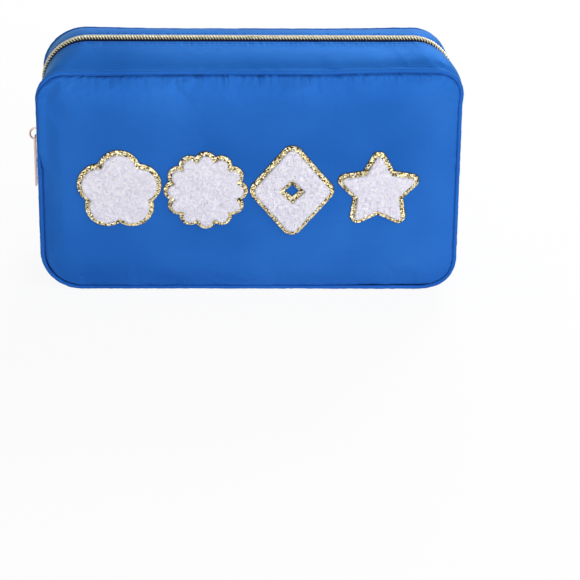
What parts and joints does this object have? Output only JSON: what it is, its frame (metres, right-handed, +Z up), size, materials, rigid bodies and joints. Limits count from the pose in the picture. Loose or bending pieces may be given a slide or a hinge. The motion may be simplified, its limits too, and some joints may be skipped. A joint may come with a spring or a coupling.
{
  "type": "mahjong tile case",
  "caption": "Soft boxed case for mahjong tiles with padded panels, piped seams, a coil zip over the top and chenille patches on its front; the mouth opens and the pull swings.",
  "frame": {"origin": "centre of the flat base, on the surface it stands on", "axes": "+X to the right seen from the front, -Y out of the front with the patches, +Z up"},
  "size_m": [0.275, 0.096, 0.1582],
  "materials": {
    "satin_nylon": "satin",
    "piping": "satin",
    "lining": "matte",
    "zip_tape": "woven",
    "gold_coil": "metallised",
    "gold_metal": "polished",
    "rose_gold_metal": "polished",
    "glitter_foil": "glitter",
    "chenille_pile": "looped pile"
  },
  "bodies": {
    "case": {"front_panel": "satin_nylon", "back_panel": "satin_nylon", "base_gusset": "satin_nylon", "front_band_left": "satin_nylon", "front_band_right": "satin_nylon", "back_band_left": "satin_nylon", "back_band_right": "satin_nylon", "front_piping": "piping", "back_piping": "piping", "front_lining": "lining", "back_lining": "lining", "base_lining": "lining", "front_band_lining_left": "lining", "front_band_lining_right": "lining", "back_band_lining_left": "lining", "back_band_lining_right": "lining", "front_tape_left": "zip_tape", "front_tape_right": "zip_tape", "back_tape_left": "zip_tape", "back_tape_right": "zip_tape", "front_coil_left": "gold_coil", "front_coil_right": "gold_coil", "back_coil_left": "gold_coil", "back_coil_right": "gold_coil", "zip_top_stops": "gold_metal", "zip_bottom_stop": "gold_metal", "left_cross_welt": "satin_nylon", "right_cross_welt": "satin_nylon", "blossom_patch_base": "glitter_foil", "blossom_patch_pile": "chenille_pile", "roundel_patch_base": "glitter_foil", "roundel_patch_pile": "chenille_pile", "lozenge_patch_base": "glitter_foil", "lozenge_patch_pile": "chenille_pile", "star_patch_base": "glitter_foil", "star_patch_pile": "chenille_pile"},
    "front_flap": {"front_flap_band": "satin_nylon", "front_flap_lining": "lining", "front_flap_tape": "zip_tape", "front_flap_coil": "gold_coil"},
    "back_flap": {"back_flap_band": "satin_nylon", "back_flap_lining": "lining", "back_flap_tape": "zip_tape", "back_flap_coil": "gold_coil"},
    "slider": {"slider_body": "rose_gold_metal", "slider_crown": "rose_gold_metal"},
    "pull": {"pull_tab": "rose_gold_metal"}
  },
  "joints": [
    {"name": "front_mouth", "type": "hinge", "parent": "case", "child": "front_flap", "pos_m": [0, -0.0366, 0.1502], "axis": [1, 0, 0], "range_deg": [0, 100]},
    {"name": "back_mouth", "type": "hinge", "parent": "case", "child": "back_flap", "pos_m": [0, 0.0366, 0.1502], "axis": [-1, 0, 0], "range_deg": [0, 100]},
    {"name": "slider_run", "type": "slide", "parent": "case", "child": "slider", "axis": [0, 0, 1], "range_m": [0, 0.027], "deforming": ["front_coil_left", "back_coil_left", "front_tape_left", "back_tape_left"]},
    {"name": "pull_swing", "type": "hinge", "parent": "slider", "child": "pull", "pos_m": [-0.1376, 0, 0.09], "axis": [0, 1, 0], "range_deg": [0, 170]}
  ]
}
